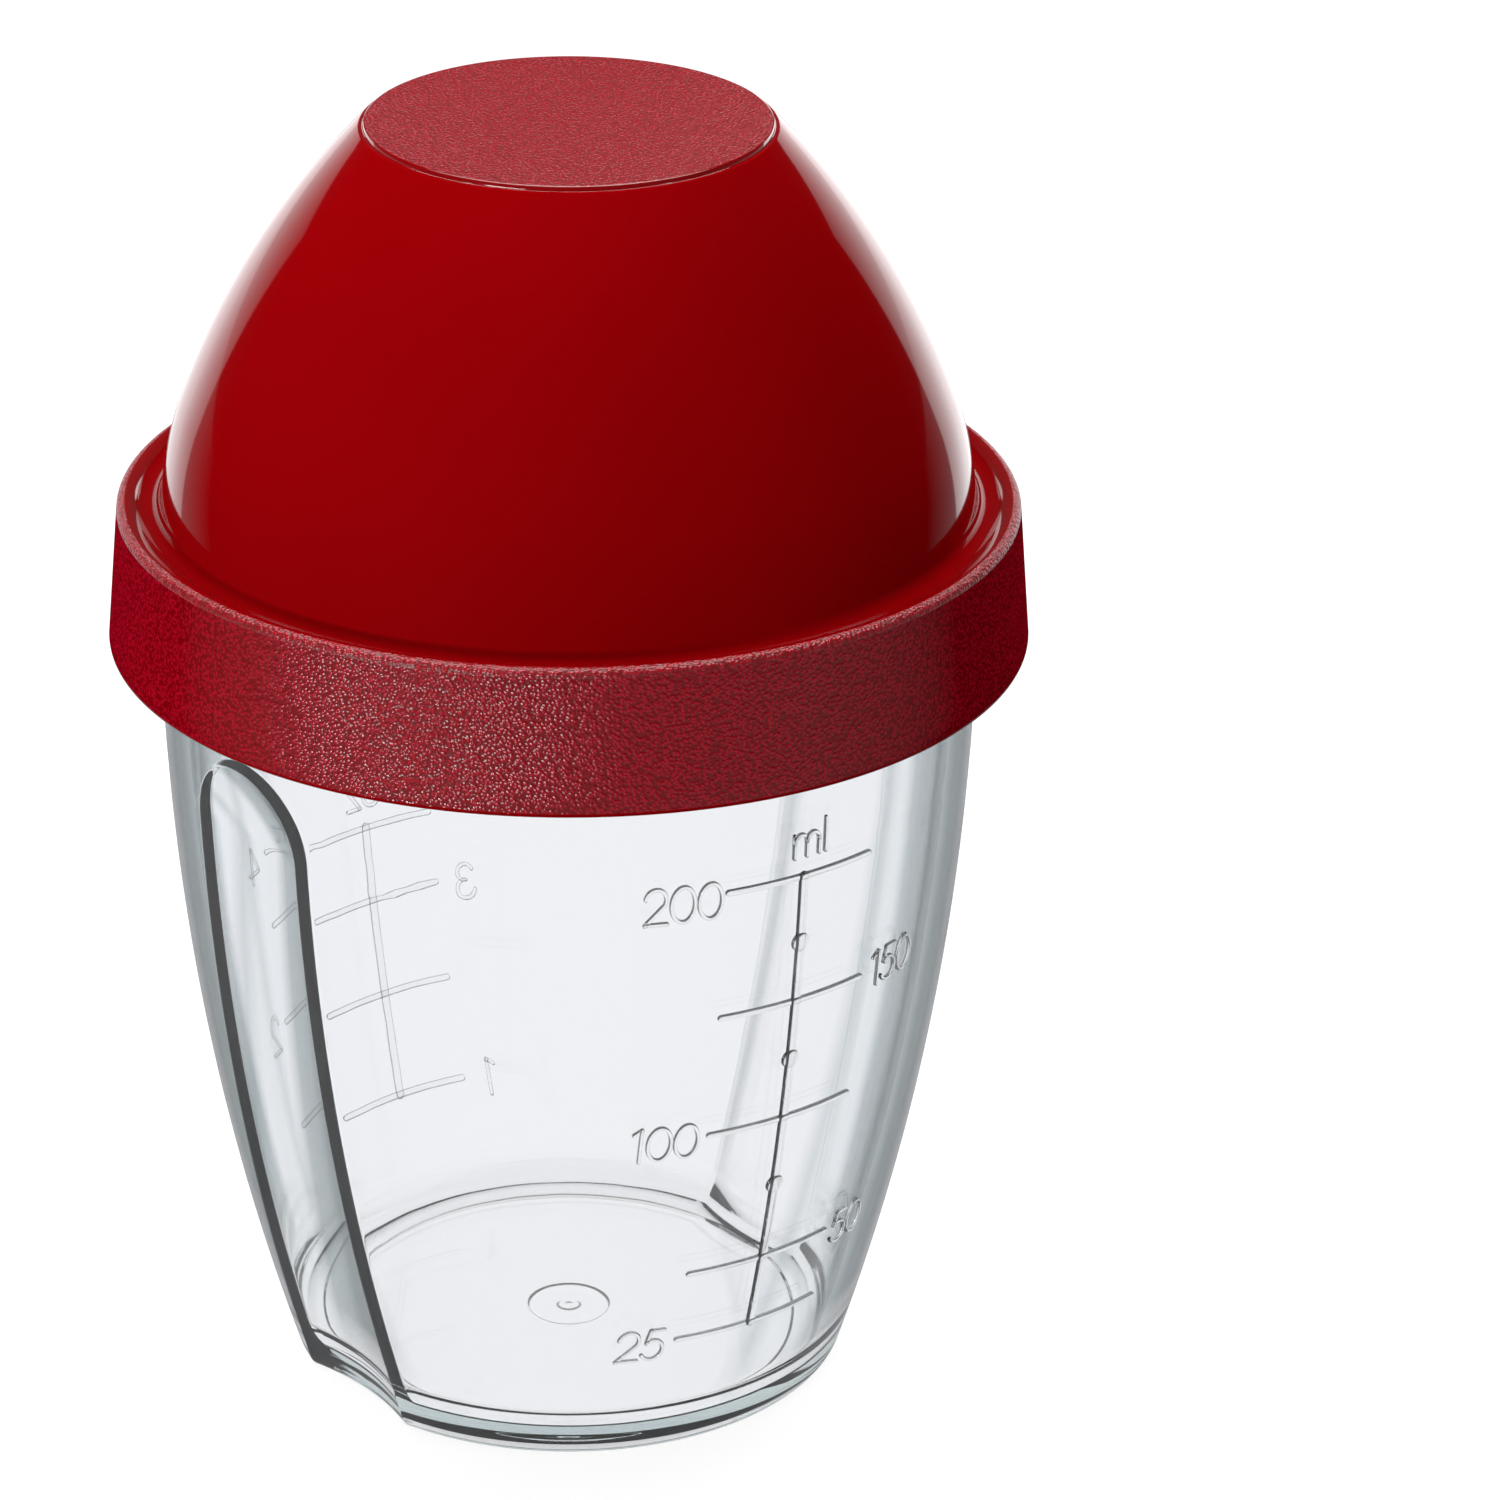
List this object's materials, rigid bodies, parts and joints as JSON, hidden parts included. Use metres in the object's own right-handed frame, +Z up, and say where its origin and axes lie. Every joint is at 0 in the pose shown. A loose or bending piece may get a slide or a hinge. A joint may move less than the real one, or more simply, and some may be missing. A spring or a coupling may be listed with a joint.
{
  "type": "salad dressing shaker bottle",
  "caption": "Clear tapered shaker cup with scooped finger grips and a raised measuring scale, closed by a domed screw lid with a flat top, a trough and a textured band over a sealing ring.",
  "frame": {"origin": "centre of the foot, in the plane that the cup stands on", "axes": "+Z up along the axis of cup and lid, +X and -X out through the two finger grips, -Y towards the millilitre scale"},
  "size_m": [0.0878, 0.0878, 0.1264],
  "materials": {
    "clear_plastic": "clear, polished",
    "silicone": "soft matt",
    "red_plastic": "glossy dome, fine grain on the band and the flat top"
  },
  "bodies": {
    "cup": {"cup": "clear_plastic"},
    "sealing_ring": {"sealing_ring": "silicone"},
    "lid": {"lid": "red_plastic"}
  },
  "joints": [
    {"name": "lid_rise", "type": "slide", "parent": "cup", "child": "sealing_ring", "axis": [0, 0, 1], "range_m": [0, 0.008]},
    {"name": "lid_turn", "type": "hinge", "parent": "sealing_ring", "child": "lid", "pos_m": [0, 0, 0.0836], "axis": [0, 0, 1], "range_deg": [0, 240]}
  ],
  "couplings": [
    {"joint": "lid_rise", "follows": "lid_turn", "m_per_rad": 0.0019099}
  ]
}
